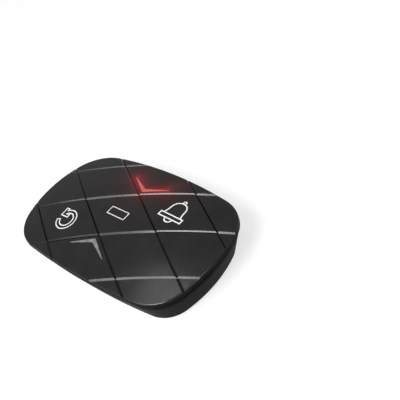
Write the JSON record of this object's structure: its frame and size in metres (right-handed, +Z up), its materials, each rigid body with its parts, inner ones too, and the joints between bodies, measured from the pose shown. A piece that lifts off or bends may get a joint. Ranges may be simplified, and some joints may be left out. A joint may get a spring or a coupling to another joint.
{
  "type": "waiter call button",
  "caption": "Palm-sized table call button: crowned black cover with quilted grooves, diamond push keys, chevron light guides, and a tapered base with a twist-off battery door.",
  "frame": {"origin": "table surface under the centre of the plan outline, at the bottom of the feet", "axes": "+X across the short axis, towards the CLEAR key; +Y along the long axis, towards the CALL key; +Z up, out of the crowned cover"},
  "size_m": [0.0542, 0.0874, 0.0188],
  "materials": {
    "cover_black": "satin textured",
    "key_black": "satin textured",
    "base_black": "fine matt texture",
    "plunger_black": "moulded",
    "switch_plastic": "moulded",
    "led_plastic": "moulded, clear window",
    "guide_red": "lit, translucent",
    "guide_grey": "unlit, translucent",
    "rubber_black": "matt",
    "silicone_grey": "matt",
    "screw_steel": "black zinc",
    "contact_steel": "nickel plated",
    "can_steel": "stainless",
    "board_green": "solder resist",
    "chip_black": "moulded epoxy",
    "ceramic_tan": "fired ceramic",
    "copper": "bare copper"
  },
  "bodies": {
    "housing": {"top_cover": "cover_black", "call_light_guide": "guide_red", "clear_light_guide": "guide_grey", "cover_gasket": "rubber_black", "base_housing": "base_black", "rubber_feet": "rubber_black", "case_screws": "screw_steel", "board_screws": "screw_steel", "circuit_board": "board_green", "call_switch_body": "switch_plastic", "clear_switch_body": "switch_plastic", "call_switch_frame": "contact_steel", "clear_switch_frame": "contact_steel", "call_led": "led_plastic", "clear_led": "led_plastic", "light_baffles": "rubber_black", "controller_chip": "chip_black", "radio_chip": "chip_black", "crystal": "can_steel", "board_capacitors": "ceramic_tan", "board_resistors": "chip_black", "antenna_trace": "copper", "coin_cell": "can_steel", "battery_contact_negative": "contact_steel", "battery_contact_positive": "contact_steel"},
    "call_key": {"call_key": "key_black", "call_key_pad": "silicone_grey"},
    "call_plunger": {"call_switch_plunger": "plunger_black"},
    "clear_key": {"clear_key": "key_black", "clear_key_pad": "silicone_grey"},
    "clear_plunger": {"clear_switch_plunger": "plunger_black"},
    "battery_door": {"battery_door": "base_black", "door_seal": "rubber_black"}
  },
  "joints": [
    {"name": "call_key_press", "type": "slide", "parent": "housing", "child": "call_key", "axis": [0, 0, -1], "range_m": [0, 0.0003], "stiffness_N_per_m": 4000, "springref_m": -0.0001},
    {"name": "call_plunger_press", "type": "slide", "parent": "housing", "child": "call_plunger", "axis": [0, 0, -1], "range_m": [0, 0.0003]},
    {"name": "clear_key_press", "type": "slide", "parent": "housing", "child": "clear_key", "axis": [0, 0, -1], "range_m": [0, 0.0003], "stiffness_N_per_m": 4000, "springref_m": -0.0001},
    {"name": "clear_plunger_press", "type": "slide", "parent": "housing", "child": "clear_plunger", "axis": [0, 0, -1], "range_m": [0, 0.0003]},
    {"name": "battery_door_turn", "type": "hinge", "parent": "housing", "child": "battery_door", "pos_m": [0, 0, 0], "axis": [0, 0, -1], "range_deg": [0, 30]}
  ],
  "couplings": [
    {"joint": "call_plunger_press", "follows": "call_key_press", "ratio": 1},
    {"joint": "clear_plunger_press", "follows": "clear_key_press", "ratio": 1}
  ]
}
